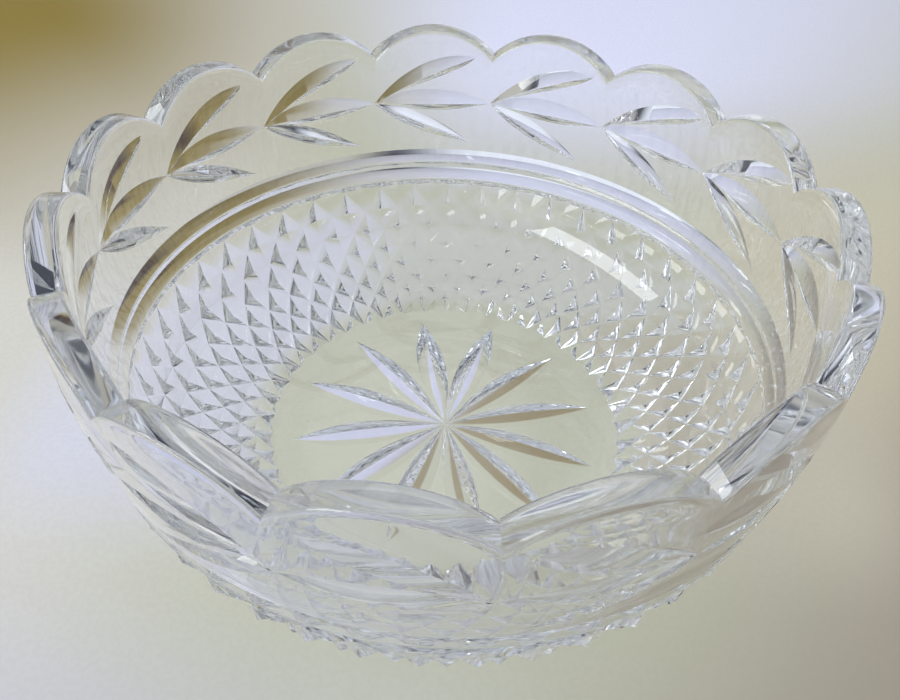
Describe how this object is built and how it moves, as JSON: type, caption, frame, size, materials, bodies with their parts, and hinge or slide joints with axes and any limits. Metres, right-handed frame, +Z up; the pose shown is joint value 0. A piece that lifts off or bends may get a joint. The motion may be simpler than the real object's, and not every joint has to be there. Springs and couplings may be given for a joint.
{
  "type": "crystal bowl",
  "caption": "Deep round bowl of clear cut glass with a scalloped rim, laurel sprigs, mitred rings, a diamond field and a star under its flat base, for fruit, salad or sweets.",
  "frame": {"origin": "middle of the flat base that the bowl stands on", "axes": "+Z up along the bowl's axis, from the base towards the rim; a cusp of the scalloped rim and a ray of the star lie 12.3 degrees from +X towards +Y"},
  "size_m": [0.2032, 0.2032, 0.0969],
  "materials": {
    "crystal": "clear colourless crystal, cut facets polished bright"
  },
  "bodies": {
    "root": {"bowl": "crystal"}
  },
  "joints": []
}
